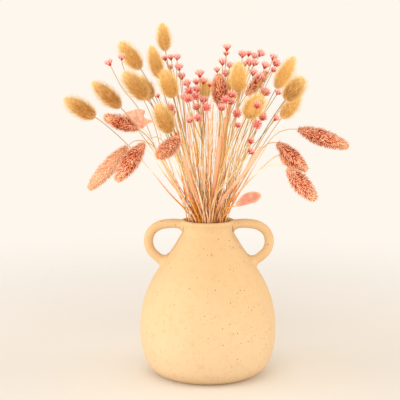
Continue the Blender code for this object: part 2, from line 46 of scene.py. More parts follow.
# The wall as (radius, height), from the edge of the inner floor over the lip to the edge of the foot.
WALL = ((42, FLOOR), (58, 13), (66.5, 27), (69.2, 50), (65.4, 80), (56.8, 103), (43.8, 125), (28.6, 148),
        (22.4, 160), (22.6, 167.6), (24.4, 171), (27, 172.3), (29.4, 171.4), (30.2, 169.6), (29.2, 167.4),
        (28.5, 165), (28.1, 161), (33.8, 149), (49, 126), (62.8, 104), (71.6, 81), (75.4, 50), (72.8, 27),
        (66, 10.5), (58, 2.8), (53, 0))
OUTER_WALL_STARTS = 14
CLAY_STEP = 1.2
TURNED_SIDES = 128


def unit(direction):
    return direction / norm(direction, axis=-1, keepdims=True)


def fair_line(points, spacings):
    """A smooth curve through the points, cut about every so many millimetres in each span."""
    points = np.array(points, float)
    chords = norm(np.diff(points, axis=0), axis=1)[:, None]
    slopes = np.diff(points, axis=0) / chords
    inner = (slopes[:-1] * chords[1:] + slopes[1:] * chords[:-1]) / (chords[:-1] + chords[1:])
    tangents = np.vstack([slopes[:1], inner, slopes[-1:]])
    line = [points[0]]
    for span, chord in enumerate(chords[:, 0]):
        steps = max(1, round(chord / spacings[span]))
        for t in np.linspace(0, 1, steps + 1)[1:]:
            leaving = points[span] * (1 + 2 * t) + tangents[span] * chord * t
            arriving = points[span + 1] * (3 - 2 * t) - tangents[span + 1] * chord * (1 - t)
            line.append(leaving * (1 - t) ** 2 + arriving * t * t)
    return np.array(line)


def even_line(points, spacing):
    return fair_line(points, [spacing] * (len(points) - 1))


def turns(sides):
    """The angles of a ring's points."""
    return np.arange(sides) * math.tau / sides


class Shape:
    """A mesh in the making: its points, its faces, and named values at the points for the materials."""

    def __init__(self):
        self.points = np.empty((0, 3))
        self.faces = []
        self.values = {}

    def add(self, points, faces, **values):
        points = np.array(points, float).reshape(-1, 3)
        self.faces += [[corner + len(self.points) for corner in face] for face in faces]
        self.points = np.vstack([self.points, points])
        for name, value in values.items():
            each = np.broadcast_to(np.array(value, float).ravel(), len(points))
            self.values.setdefault(name, []).append(each)

    def skin(self, rings, capped=False, open_sided=False, **values):
        """A skin over rows of points. Each value is one number, or one for each row or each point."""
        rings = np.array(rings, float)
        rows, across = rings.shape[:2]
        sides = across - 1 if open_sided else across
        faces = []
        for row in range(rows - 1):
            here = row * across
            for side in range(sides):
                after = (side + 1) % across
                faces.append((here + side, here + after, here + across + after, here + across + side))
        if capped:
            faces.append(range(across - 1, -1, -1))
            faces.append(range((rows - 1) * across, rows * across))
        for name, value in values.items():
            values[name] = np.broadcast_to(np.transpose(value), (across, rows)).T
        self.add(rings, faces, **values)

    def repeat(self, corners, pattern, **values):
        """Many small pieces alike: corners is (pieces, corners of each, 3), pattern the faces of one."""
        count, each = corners.shape[:2]
        starts = np.arange(count) * each
        faces = [(start + np.array(face)).tolist() for start in starts for face in pattern]
        spread = {name: np.broadcast_to(value, (count, each)) for name, value in values.items()}
        self.add(corners, faces, **spread)

    def piece(self, name, finish):
        mesh = bpy.data.meshes.new(name)
        mesh.from_pydata((self.points * MM).tolist(), [], self.faces)
        for value, parts in self.values.items():
            layer = mesh.attributes.new(value, 'FLOAT', 'POINT')
            layer.data.foreach_set("value", np.concatenate(parts).astype(np.float32))
        mesh.materials.append(finish)
        mesh.shade_smooth()
        thing = bpy.data.objects.new(name, mesh)
        bpy.context.scene.collection.objects.link(thing)
        return thing


class Socket:
    """An output of a material's node. Python's arithmetic on it adds Math nodes."""

    def __init__(self, finish, link):
        self.finish = finish
        self.link = link

    def maths(self, operation, *values):
        return self.finish.node("ShaderNodeMath", {"operation": operation}, dict(enumerate(values)))

    def __add__(self, other):
        return self.maths('ADD', self, other)

    def __sub__(self, other):
        return self.maths('SUBTRACT', self, other)

    def __rsub__(self, other):
        return self.maths('SUBTRACT', other, self)

    def __mul__(self, other):
        return self.maths('MULTIPLY', self, other)

    def __pow__(self, other):
        return self.maths('POWER', self, other)

    __radd__ = __add__
    __rmul__ = __mul__

    def between(self, low, high):
        """From 0 at low to 1 at high, easing in and out."""
        ease = {"interpolation_type": 'SMOOTHSTEP'}
        sockets = {"Value": self, "From Min": low, "From Max": high}
        return self.finish.node("ShaderNodeMapRange", ease, sockets)


class Finish:
    """A material. Its settings that are the same all over go straight to the shader."""

    def __init__(self, name, **settings):
        self.material = bpy.data.materials.new(name)
        self.material.use_nodes = True
        self.tree = self.material.node_tree
        self.shader = self.tree.nodes["Principled BSDF"]
        self.wear(**settings)

    def fill(self, node, sockets):
        for name, value in sockets.items():
            if isinstance(value, Socket):
                self.tree.links.new(value.link, node.inputs[name])
            else:
                node.inputs[name].default_value = value

    def node(self, kind, settings=(), sockets=(), output=0):
        """Any node: its settings first, then the values or links of its sockets."""
        node = self.tree.nodes.new(kind)
        for name, value in dict(settings).items():
            if name == "stops":
                ramp = node.color_ramp.elements
                while len(ramp) < len(value):
                    ramp.new(0.5)
                for stop, (position, colour) in zip(ramp, value):
                    stop.position = position
                    stop.color = colour
            else:
                setattr(node, name, value)
        self.fill(node, dict(sockets))
        return Socket(self, node.outputs[output])

    def place(self):
        return self.node("ShaderNodeTexCoord", output="Object")

    def value(self, name):
        return self.node("ShaderNodeAttribute", {"attribute_name": name}, output="Fac")

    def mix(self, factor, first, second):
        """A colour between two others. Factor, A and B are the sockets 0, 6 and 7."""
        return self.node("ShaderNodeMix", {"data_type": 'RGBA'}, {0: factor, 6: first, 7: second}, 2)

    def noise(self, size, detail=2.0, vector=None):
        """Soft clouds of that size in millimetres, from 0 to 1."""
        sockets = {"Vector": vector or self.place(), "Scale": 1000 / size, "Detail": detail}
        return self.node("ShaderNodeTexNoise", {}, sockets)

    def specks(self, apart, radius, chosen):
        """Round specks, that far apart in the clay, of up to that radius. Chosen is their share."""
        cells = {"Vector": self.place(), "Scale": 1000 / apart}
        distance = self.node("ShaderNodeTexVoronoi", {}, cells, "Distance")
        cell = self.node("ShaderNodeTexVoronoi", {}, cells, "Color")
        chance = self.node("ShaderNodeSeparateColor", {}, {"Color": cell}, "Red")
        reach = chance.between(1 - chosen, 1) * (radius / apart)
        return (reach - distance).between(0, 0.12 * radius / apart)

    def bump(self, height, depth):
        """A relief that is depth millimetres deep where the height runs from 0 to 1."""
        sockets = {"Strength": 1.0, "Distance": depth * MM, "Height": height}
        return self.node("ShaderNodeBump", {}, sockets)

    def wear(self, **sockets):
        """Set what is the same all over the surface, or connect what varies."""
        self.fill(self.shader, {name.replace("_", " "): value for name, value in sockets.items()})
        return self.material


def tone(red, green, blue):
    """A colour from its three values out of 255, as a shader takes it."""
    return (*[((part / 255 + 0.055) / 1.055) ** 2.4 for part in (red, green, blue)], 1)


pot = Shape()
wall = even_line(WALL, CLAY_STEP)
profile = np.vstack([[(0.01, FLOOR)], wall, [(0.01, 0)]])
angles = turns(TURNED_SIDES)
round_the_axis = np.stack([np.cos(angles), -np.sin(angles)], axis=1)
pot.skin([np.column_stack([radius * round_the_axis, np.full(TURNED_SIDES, height)])
          for radius, height in profile])

# The two ear handles are pulled coils of the same clay. Each leaves the neck level with the lip, and
# comes down to the shoulder, where its end is smoothed into the wall with a soft fillet.
HANDLE_LINE = ((26.4, 167.2), (41.8, 168), (53.6, 165.8), (62.4, 159.2), (65.8, 149), (63.6, 139),
               (56.8, 131.2), (46.4, 124.6))
# They were pulled by hand: the right one stands out a little farther.
HANDLE_REACHES = {-1: 1.0, 1: 1.03}
HANDLE_RADIUS = 5.1
HANDLE_SIDES = 28
FILLET = 7.0
FILLET_SOFTNESS = 0.75
# Above this height the lip leaves little room for the fillet on a handle's upper side.
LIP_NEAR = 150
LIP_TAKES = 0.94


def directions_along(line):
    """At each point of a line: the way across it and the way over it, turning as little as can be."""
    tangents = unit(np.gradient(np.asarray(line, float), axis=0))
    across = [unit(np.cross(tangents[0], (0.31, 0.9, 0.17)))]
    for tangent in tangents[1:]:
        across.append(unit(across[-1] - tangent * across[-1].dot(tangent)))
    across = np.array(across)
    return across, np.cross(tangents, across)


def spokes(across, over, angles):
    """The ways outward at those angles, from the way across to the way over."""
    return across * np.cos(angles)[:, None] + over * np.sin(angles)[:, None]


def tube(line, radii, sides):
    """Rings of points round a line."""
    across, over = directions_along(line)
    ring = spokes(across[:, None], over[:, None], turns(sides))
    return np.asarray(line)[:, None] + ring * np.broadcast_to(radii, len(line))[:, None, None]


def above_the_wall(points):
    """How far each point is outside the vase's outer wall, below nought inside it."""
    outer = even_line(WALL[OUTER_WALL_STARTS:], 0.5)
    places = np.stack([norm(points[..., :2], axis=-1), points[..., 2]], axis=-1)
    gaps = places[..., None, :] - outer
    nearest = norm(gaps, axis=-1).argmin(axis=-1)
    distance = norm(places - outer[nearest], axis=-1)
    return np.where(places[..., 0] > outer[nearest][..., 0], distance, -distance)


for side, reach in HANDLE_REACHES.items():
    line = even_line([(side * distance * reach, 0, height) for distance, height in HANDLE_LINE], CLAY_STEP)
    rings = tube(line, HANDLE_RADIUS, HANDLE_SIDES)
    outward = (rings - line[:, None]) / HANDLE_RADIUS
    near = np.clip(1 - above_the_wall(rings) / FILLET, 0, 1)
    flare = FILLET * (1 - np.sqrt(1 - near ** 2))
    upper = np.clip(outward[..., 2], 0, 1) * (rings[..., 2] > LIP_NEAR)
    rings += outward * (flare * (1 - LIP_TAKES * upper))[..., None] * FILLET_SOFTNESS
    pot.skin(rings, capped=True)

clay = Finish("stoneware", Roughness=0.82, Specular_IOR_Level=0.3)
warm = clay.mix(clay.noise(55, 3), tone(211, 176, 128), tone(219, 186, 142))
height = clay.node("ShaderNodeSeparateXYZ", {}, {0: clay.place()}, 2)
# The foot is painted paler: painted light for the light that the pale floor bounces onto the vase's lower
# part.
paler_foot = clay.mix((1 - height.between(0, 0.13)) * 0.4, warm, tone(234, 212, 180))
sandy = clay.mix(clay.noise(7, 4).between(0.45, 0.75) * 0.3, paler_foot, tone(204, 164, 114))
specks = clay.specks(3.9, 0.62, 0.75) * clay.noise(16, 2).between(0.36, 0.56)
blotched = clay.mix(clay.specks(5.0, 0.9, 0.9) * 0.4, sandy, tone(178, 126, 78))
iron = clay.mix(specks, blotched, tone(104, 62, 32))
grain = clay.noise(1.1, 3) * 0.5 + clay.noise(3.4, 2) * 0.5 - specks * 0.8
matt = clay.noise(12, 3).between(0.3, 0.7) * 0.12 + 0.76
vase = pot.piece("stoneware_vase", clay.wear(Base_Color=iron, Roughness=matt, Normal=clay.bump(grain, 0.12)))
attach(vase, "root")
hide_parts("vase")

# How the bouquet stands. Each plant is given by its place in the line of sight that it was arranged
# for, on a card through the vase's axis. Its stem runs down through the neck to the vase's floor,
# and touching plants are pushed a little apart. The solids come from the same lists and rules.
VIEW_DISTANCE = 1300.0
VIEW_PITCH = math.radians(8)
VIEW_CENTRE = np.array([-8.8, 0, 194])
FORWARD = np.array([0, math.cos(VIEW_PITCH), -math.sin(VIEW_PITCH)])
CARD_UP = np.array([0, math.sin(VIEW_PITCH), math.cos(VIEW_PITCH)])
EYE = VIEW_CENTRE - FORWARD * VIEW_DISTANCE

# Each bunny tail is (right, up, depth) of its foot, then of its tip, then its half width.
BUNNY_TAILS = (
    ((-124, 91, -20), (-159, 112, -26), 8.0),
    ((-96, 102, -45), (-127, 130, -52), 8.2),
    ((-74, 144, 20), (-98, 175, 26), 8.6),
    ((-67, 111, -55), (-93, 141, -63), 9.0),
    ((-61, 112, -14), (-80, 140, -12), 7.6),
    ((-53, 134, 5), (-63, 171, 10), 7.4),
    ((-47, 163, 35), (-51, 194, 40), 7.2),
    ((-38, 113, -35), (-49, 145, -50), 9.4),
    ((-41, 74, -52), (-56, 105, -64), 8.4),
    ((-5, 111, 32), (-3, 134, 36), 7.4),
    ((33, 118, -50), (34, 152, -60), 9.4),
    ((43, 92, -50), (59, 114, -76), 9.8),
    ((75, 123, 12), (96, 159, 18), 7.6),
    ((85, 110, -45), (107, 136, -54), 9.0),
    ((81, 90, -4), (105, 119, 4), 7.8),
    ((22, 110, 66), (31, 143, 76), 8.0),
    ((-64, 110, 60), (-79, 138, 70), 8.0),
    ((86, 110, 52), (102, 133, 62), 8.0),
)
# The same for the canary grass, then the points that a nodding stem passes, from the head down.
CANARY_GRASS = (
    ((-77, 78, -60), (-115, 92, -70), 8.2, ((-64, 67, -54), (-53, 47, -46))),
    ((-89, 59, -30), (-130, 13, -36), 9.6,
     ((-82, 64.5, -27), (-71, 65, -24), (-61, 60, -20), (-53, 48, -16))),
    ((-70, 63, -60), (-100, 22, -68), 10.6,
     ((-65, 68, -56), (-57, 69.5, -52), (-50, 65, -46), (-45, 55, -40))),
    ((-32, 67, -70), (-54, 48, -94), 9.8, ((-29, 70, -60), (-26, 60, -50))),
    ((14, 101, -36), (12, 137, -44), 9.2, ()),
    ((42, 115, 15), (62, 138, 22), 6.6, ()),
    ((99, 78, -20), (156, 58, -32), 10.4, ((90, 78, -18), (79, 75, -16), (69, 67, -14), (60, 52, -12))),
    ((76, 63, -30), (109, 32, -42), 10.4, ((66, 62, -27), (57, 53, -23), (48, 38, -19))),
    ((87, 35, -52), (120, -2, -62), 9.8, ((81, 38, -49), (72, 39, -45), (61, 35, -39), (49, 26, -31))),
    ((79, 50, 40), (104, 35, 48), 8.6, ((69, 44, 36), (58, 34, 30))),
    ((15, 106, 62), (12, 131, 72), 8.6, ()),
    ((-84, 54, 56), (-105, 33, 64), 8.6, ((-75, 58, 52), (-64, 52, 46), (-56, 40, 40))),
)
# Star flowers in sprays, each as (right, up, depth) of its middle, its half width, and how many
# degrees it turns to the front. A spray's main stem ends in its first flower.
STAR_SPRAYS = (
    ((-109, 151, -45, 5.8, 10), (-95, 157, -52, 5.3, 0)),
    ((-41, 157, 20, 5.3, 0), (-34, 157, 4, 5.5, 5), (-32, 146, -12, 6.2, 10), (-29, 136, -4, 6, 10),
     (-46, 157, 32, 4.8, 0), (-42, 146, 38, 4.8, 0)),
    ((-9, 139, -16, 6.7, 10), (-13, 130, 6, 5.8, 10), (-23, 128, -26, 6, 15), (-5, 131, -4, 5.8, 10),
     (2, 127, 16, 4.8, 5)),
    ((-11, 121, -31, 6, 30), (-21, 120, -42, 6, 60), (-28, 113, -30, 5.8, 10), (-21, 112, -56, 6, 65),
     (-14, 112, -46, 6, 60)),
    ((-6, 110, -26, 5.8, 35), (-13, 104, -36, 5.5, 10), (-2, 102, -56, 6.2, 70), (-11, 90, -52, 5.5, 60),
     (-20, 87, -42, 4.8, 20)),
    ((-41, 101, -46, 5.8, 60), (-56, 114, 18, 3.8, 0), (-38, 96, -24, 4.1, 20)),
    ((21, 168, -4, 6.2, 0), (20, 161, 10, 4.6, 0), (16, 152, -15, 6.2, 0), (24, 148, -27, 5.3, 20),
     (10, 143, -8, 4.8, 10), (20, 139, -22, 5.8, 15)),
    ((45, 161, 26, 5, 0), (38, 160, -6, 6.2, 10), (51, 158, 10, 5.3, 5), (41, 150, 32, 4.8, 0),
     (46, 151, -20, 6, 15), (51, 149, -4, 5.5, 10), (58, 161, 6, 6.2, 5)),
    ((63, 148, -10, 6.2, 10), (64, 140, 28, 4.8, 10), (50, 141, -10, 5.8, 10), (57, 135, -20, 6, 25)),
    ((72, 157, 0, 5.8, 20), (75, 150, -16, 5.8, 20), (72, 143, -28, 4.3, 30)),
    ((63, 118, -38, 6.5, 50), (77, 118, -22, 4.8, 30), (75, 90, -18, 5.5, 5)),
    ((26, 116, -80, 5.8, 45), (25, 108, -68, 5.8, 30), (19, 110, -78, 5.8, 65), (15, 101, -66, 5.3, 25)),
    ((32, 95, -62, 6.2, 75), (33, 82, -52, 4.1, 60), (47, 65, -46, 4.8, 65), (47, 53, -56, 5.5, 20)),
    ((60, 91, -44, 6, 60), (54, 83, -66, 6.5, 75), (54, 104, -90, 5.5, 40)),
    ((31, 140, 50, 5.8, -20), (37, 126, 60, 5.8, -30), (47, 106, 68, 6, -50), (53, 97, 54, 5.8, -30)),
    ((-43, 132, 62, 5.8, -30), (-38, 121, 74, 6, -40), (-42, 62, 52, 5.8, -60), (-34, 72, 64, 5.5, -50)),
)
# Tips of the bare straws and of the flat leaf sheaths, as (right, up, depth).
STRAWS = ((-18, 96, 10), (4, 92, -12), (14, 84, 34), (40, 92, 22), (-38, 62, 16), (-16, 64, 50))
SHEATHS = ((59, 58, -40), (-27, 47, -50), (20, 91, -30), (25, 110, -16))
# Each leaf as its foot, its tip and its half width.
OVAL_LEAF = ((31, -5, -32), (59, 5, -30), 6.6)
LOBED_LEAF = ((-70, 80, -34), (-90, 97, -28), 13.0)

GRASS_STEM = 0.85
STAR_STEM = 0.65
LEAF_STEM = 0.6
STRAW_RADIUS = 0.95
SHEATH_HALF_WIDTH = 1.8
SHEATH_WRAP = 0.55
STRAIGHT_STEP = 36.0
NODDING_STEP = 17.0
STAR_STEP = 28.0
FAN_WIDTH = 150.0
FAN_DEPTH = 85.0
MOUTH_REACH = 20.3
MOUTH_SPACING = 4.4
MOUTH_HEIGHT = 174.0
NECK_HEIGHT = 148.0
NECK_SHARE = 0.55
# Least gap between two plants, and how readily each kind of point is pushed aside to keep it
GAP = 0.35
STEM_GIVE = 1.0
FLOWER_GIVE = 0.35
HEAD_GIVE = 0.12
LARGEST_PUSH = 0.9
HEAD_STATIONS = (0, 0.12, 0.3, 0.55, 0.8, 1.04)
HEAD_OVERHANG = 0.1
CUP_HEIGHT = 1.4
FORK_DISTANCE = 26.0
FORK_SPREAD = 1.7
STALK_BOW = 0.12


def sighted(right, up, depth):
    """The point at that depth which the eye sees at right and up on the card."""
    ray = np.array([right, 0, VIEW_CENTRE[2]]) + CARD_UP * up - EYE
    return EYE + ray * (depth - EYE[1]) / ray[1]


def swell(along):
    """How full an egg-shaped head is there, as a share of its half width."""
    return np.sin(np.pi * np.clip(along, 0.02, 0.985) ** 0.76) ** 0.55


def closest_fractions(a, b, c, d):
    """How far along a-b and c-d the two segments of each pair come closest."""
    u, v, w = b - a, d - c, a - c
    uu, vv, uv = (u * u).sum(axis=1), (v * v).sum(axis=1), (u * v).sum(axis=1)
    uw, vw = (u * w).sum(axis=1), (v * w).sum(axis=1)
    tiny = 1e-9
    s = np.clip((uv * vw - vv * uw) / np.maximum(uu * vv - uv * uv, tiny), 0, 1)
    t = np.clip((uv * s + vw) / np.maximum(vv, tiny), 0, 1)
    s = np.clip((uv * t - uw) / np.maximum(uu, tiny), 0, 1)
    return s, t


class Arrangement:
    """The bouquet's skeleton: points with a radius, and the links between them that make up each plant."""

    def __init__(self):
        self.places = []
        self.radii = []
        self.give = []
        self.links = []
        self.rigid = []

    def add(self, place, radius, give):
        self.places.append(np.array(place, float))
        self.radii.append(radius)
        self.give.append(give)
        return len(self.places) - 1

    def join(self, plant, line):
        self.links += [(start, end, plant) for start, end in zip(line, line[1:])]

    def near_pairs(self, places, radii, links, owners):
        """Pairs of links of different plants that could touch after a few pushes."""
        starts, ends = places[links[:, 0]], places[links[:, 1]]
        reach = norm(starts - ends, axis=1) / 2 + radii[links].max(axis=1) + 2
        distance = norm((starts + ends)[:, None] - (starts + ends)[None], axis=2) / 2
        return np.nonzero((distance < reach[:, None] + reach[None]) & (owners[:, None] < owners[None]))

    def settle(self, rounds=400):
        """Push touching plants apart, a little at a time, until a gap is left everywhere."""
        places = np.array(self.places)
        radii = np.array(self.radii)
        give = np.array(self.give)
        links = np.array([link[:2] for link in self.links])
        owners = np.array([link[2] for link in self.links])
        for turn in range(rounds):
            relisted = turn % 4 == 0
            if relisted:
                first, second = self.near_pairs(places, radii, links, owners)
                corners = np.vstack([links[first].T, links[second].T])
                corners = corners[:, give[corners].sum(axis=0) > 0]
            a, b, c, d = places[corners]
            s, t = closest_fractions(a, b, c, d)
            shares = np.stack([1 - s, s, 1 - t, t])
            apart = a + (b - a) * s[:, None] - c - (d - c) * t[:, None]
            distance = np.maximum(norm(apart, axis=1), 1e-6)
            short = (radii[corners] * shares).sum(axis=0) + GAP - distance
            if relisted and short.max() < GAP / 20:
                break
            push = apart * (np.maximum(short, 0) / distance)[:, None]
            weight = shares * give[corners]
            weight /= np.maximum((weight * shares).sum(axis=0), 0.05)
            moves = np.zeros_like(places)
            for corner, share, way in zip(corners, weight, (1, 1, -1, -1)):
                np.add.at(moves, corner, way * push * share[:, None])
            length = norm(moves, axis=1)[:, None]
            moves *= np.minimum(0.6, LARGEST_PUSH / np.maximum(length, 1e-6))
            for group in self.rigid:
                moves[group] = 2 * moves[group].mean(axis=0)
            places += moves
        self.places = list(places)


def seats_in_mouth(goals):
    """Where each stem passes the mouth: on the side that it leans to, and clear of the others."""
    seats = np.array([(goal[0] / FAN_WIDTH, goal[1] / FAN_DEPTH) for goal in goals])
    seats *= MOUTH_REACH / np.maximum(1, norm(seats, axis=1))[:, None]
    for _ in range(400):
        apart = seats[:, None] - seats[None]
        distance = norm(apart, axis=2) + MOUTH_SPACING * np.eye(len(seats))
        push = np.maximum(0, MOUTH_SPACING - distance) / distance
        seats = seats + 0.3 * (apart * push[..., None]).sum(axis=1)
        seats *= np.minimum(1, MOUTH_REACH / norm(seats, axis=1))[:, None]
    return seats


def stem_points(end, neck, course, radius, inner_radius=None, mouth_give=0):
    """The stem's cut end on the vase's floor, its way through the neck, and its course from the mouth."""
    inner_radius = inner_radius or radius
    line = [bouquet.add((*end, FLOOR + GAP), inner_radius, 0),
            bouquet.add((*neck, NECK_HEIGHT), inner_radius, 0),
            bouquet.add(course[0], radius, mouth_give)]
    return line + [bouquet.add(point, radius, STEM_GIVE) for point in course[1:]]


def mouth_point(seat):
    return np.array([*seat, MOUTH_HEIGHT])


def grass_skeleton(plant, seat, foot, tip, half_width, passing=()):
    """The points of one grass, from its cut end to the tip of its head."""
    foot, tip = sighted(*foot), sighted(*tip)
    passing = [sighted(*point) for point in reversed(passing)]
    step = NODDING_STEP if passing else STRAIGHT_STEP
    steps = [step] * (len(passing) + 1) + [math.dist(foot, tip)]
    course = fair_line([mouth_point(seat), *passing, foot, tip], steps)
    line = stem_points(seat, seat * NECK_SHARE, course[:-2], GRASS_STEM)
    head = [bouquet.add(foot + (tip - foot) * along,
                        half_width * max(swell(along), swell(along - HEAD_OVERHANG)), HEAD_GIVE)
            for along in HEAD_STATIONS]
    bouquet.join(plant, line + head)
    bouquet.rigid.append(head)
    return line, head


def fork_for(main, middle, top):
    """The point of the main stem from which a stalk can rise gently to a flower."""
    spread = max(FORK_DISTANCE, FORK_SPREAD * norm(middle - top))
    below = [index for index in main[3:-2] if norm(bouquet.places[index] - middle) > spread]
    return below[-1] if below else main[3]


def star_skeleton(plant, seat, flowers):
    """The points of one spray: its main stem, then a stalk to each other flower."""
    lines = []
    top = sighted(*flowers[0][:3])
    for right, up, depth, half_width, turn in flowers:
        middle = sighted(right, up, depth)
        fork = fork_for(lines[0], middle, top) if lines else None
        start = bouquet.places[fork] if lines else mouth_point(seat)
        turn = math.radians(turn)
        facing = unit(unit(middle - start) * math.cos(turn) + unit(EYE - middle) * math.sin(turn))
        half_cup = facing * CUP_HEIGHT * half_width / 2
        base, rim = middle - half_cup, middle + half_cup
        if lines:
            bend = (start + base) / 2 - facing * STALK_BOW * norm(base - start)
            line = [fork, bouquet.add(bend, STAR_STEM, STEM_GIVE)]
        else:
            course = fair_line([start, base, rim], [STAR_STEP, math.dist(base, rim)])
            line = stem_points(seat, seat * NECK_SHARE, course[:-2], STAR_STEM)
        line += [bouquet.add(base, 1, FLOWER_GIVE), bouquet.add(rim, half_width, FLOWER_GIVE)]
        # The last link, from the rim to itself, keeps the whole width of the star clear.
        bouquet.join(plant, line + line[-1:])
        bouquet.rigid.append(line[-2:])
        lines.append(line)
    return lines


def straw_skeleton(plant, seat, tip, radius=STRAW_RADIUS):
    """The points of a bare straw or sheath."""
    course = fair_line([mouth_point(seat), sighted(*tip)], [STRAIGHT_STEP])
    inner_radius = min(radius, SHEATH_HALF_WIDTH * SHEATH_WRAP)
    line = stem_points(seat, seat * NECK_SHARE, course, radius, inner_radius)
    bouquet.join(plant, line)
    return line


def leaf_skeleton(plant, seat, foot, tip, half_width):
    """The points of a leaf's stalk, and those along the leaf."""
    line = straw_skeleton(plant, seat, foot, LEAF_STEM)
    foot, tip = sighted(*foot), sighted(*tip)
    leaf = [bouquet.add(foot + (tip - foot) * along, half_width * width, HEAD_GIVE)
            for along, width in ((0.3, 0.8), (0.65, 0.9), (1, 0.3))]
    bouquet.join(plant, line[-1:] + leaf)
    bouquet.rigid.append(line[-1:] + leaf)
    return line, leaf


leaves = (OVAL_LEAF, LOBED_LEAF)
goals = [tail[0] for tail in BUNNY_TAILS] + [ear[0] for ear in CANARY_GRASS]
goals += [stars[0][:3] for stars in STAR_SPRAYS] + [*STRAWS, *SHEATHS] + [leaf[0] for leaf in leaves]
taken = seats_in_mouth([sighted(*goal) for goal in goals])
seats = iter(enumerate(taken))
bouquet = Arrangement()
tail_bones = [grass_skeleton(*next(seats), *tail) for tail in BUNNY_TAILS]
ear_bones = [grass_skeleton(*next(seats), *ear) for ear in CANARY_GRASS]
spray_bones = [star_skeleton(*next(seats), stars) for stars in STAR_SPRAYS]
straw_bones = [straw_skeleton(*next(seats), tip) for tip in STRAWS]
sheath_bones = [straw_skeleton(*next(seats), tip, SHEATH_HALF_WIDTH) for tip in SHEATHS]
leaf_bones = [leaf_skeleton(*next(seats), *leaf) for leaf in leaves]
bouquet.settle()
settled = np.array(bouquet.places)

# The bunny tails: soft egg-shaped grass heads, cut dry and golden, each on a thin straw. A head is a
# dense core with thousands of fine pale hairs that lean to its tip and stand out as a halo.
# Each coat of hair: how many, how wide, how far they reach in shares of the space round the core, how
# unevenly they do so, how far they are twisted, and how pale they are.
COATS = ((3000, 0.28, 1.0, 0.35, 0.6, 0.0), (2600, 0.13, 2.1, 0.45, 3.0, 0.5))
CORE_SHARE = 0.7
ROOTS_SHARE = 0.6
# How brown each head has ripened, from 0 to 1. Below 0 is painted light: the 10th and 12th heads are
# drawn paler to make up for the shade that falls on them.
RIPENED = (0.85, 0.95, 0.45, 0.8, 1, 0.4, 0.35, 0, 0.5, -0.8, 0, -0.5, 0, 0.8, 0.2, 0.5, 0.5, 0.4)
GOLDEN_TURN = math.pi * (3 - math.sqrt(5))
STEM_SIDES = 8
STEM_STEP = 6.0
STEM_SLIMS_OVER = 90.0
LOW_TINTS = (0.34, 0.4, 0.46, 0.7, 0.76, 0.82, 0.92)
STEM_INTO_HEAD = 0.4
HEAD_LENGTH = 0.93
CORE_ROWS = 16
CORE_SIDES = 20
# A stalk's radius in the vase and well above it
TAIL_STALK = (1.1, 0.48)
# Hairs add to a head's size, so many are drawn slimmer or shorter than their solids. Each is its length
# and its width, as shares.
HEAD_SHARES = {2: (1.03, 0.88), 3: (0.98, 0.9), 4: (1, 0.94), 5: (0.8, 0.85), 6: (1, 0.86), 7: (1, 0.86),
               8: (0.95, 0.84), 10: (0.9, 0.85), 11: (1, 0.78), 12: (1, 0.9), 13: (1, 0.9), 14: (0.92, 0.86),
               15: (0.88, 0.8), 17: (0.75, 0.7)}


def head_axes(foot, tip):
    along = unit(tip - foot)
    across = unit(np.cross(along, (0.2, 1, 0.1)))
    return across, np.cross(along, across), along


def head_core(shape, foot, tip, half_width, girth, **values):
    """The solid middle of a head, which is as full as girth says."""
    across, over, along = head_axes(foot, tip)
    heights = np.linspace(0.01, 0.99, CORE_ROWS)
    ring = spokes(across, over, turns(CORE_SIDES))
    rings = [foot + (tip - foot) * height + ring * half_width * girth(height) for height in heights]
    shape.skin(rings, capped=True, height=heights, **values)


def stem(shape, line, thick, thin, low_tint, high_tint):
    """A round stalk: thick and golden in the vase, where old sheaths wrap it, and thin from well above."""
    bare = np.clip((line[:, 2] - MOUTH_HEIGHT) / STEM_SLIMS_OVER, 0, 1)
    rings = tube(line, thick + (thin - thick) * bare ** 0.7, STEM_SIDES)
    shape.skin(rings, capped=True, tint=low_tint + (high_tint - low_tint) * bare)


fuzz = Finish("golden_fuzz", Roughness=0.9, Specular_IOR_Level=0.15, Sheen_Weight=0.5,
              Sheen_Roughness=0.4, Sheen_Tint=tone(255, 230, 182))
golden = fuzz.mix(fuzz.value("ripened"), tone(251, 198, 108), tone(222, 146, 46))
# Heads below 0 are painted paler: painted light on heads that lie in shade.
bleach_and_painted_light = fuzz.mix(0 - fuzz.value("ripened"), golden, tone(255, 224, 150))
# Both ends of a head are paler: at the tip its hairs are paler, and at the foot it is painted light that
# makes up for the shade under the head.
ends = 1 - fuzz.value("height").between(0, 0.2) + fuzz.value("height").between(0.6, 1)
fair_ends = fuzz.mix(ends * 0.5, bleach_and_painted_light, tone(244, 220, 166))
hair = fuzz.mix(fuzz.value("along").between(0.1, 0.95) * 0.85, fair_ends, tone(255, 230, 156))
pale_tip_lit_foot = fuzz.mix(ends * 0.5, hair, tone(252, 224, 176))
depth = fuzz.value("ripened") * (1 - ends) * (1 - fuzz.value("along") * 0.7)
ripe = fuzz.mix(depth * fuzz.noise(5, 2).between(0.32, 0.6) * 0.8, pale_tip_lit_foot, tone(190, 110, 12))
bristly = fuzz.mix(fuzz.value("tint").between(0.78, 0.95) * 0.75, ripe, tone(174, 104, 24))
clumped = fuzz.mix(fuzz.noise(2.2, 2).between(0.5, 0.7) * 0.26, bristly, tone(184, 108, 20))
golden_fuzz = fuzz.wear(Base_Color=clumped)

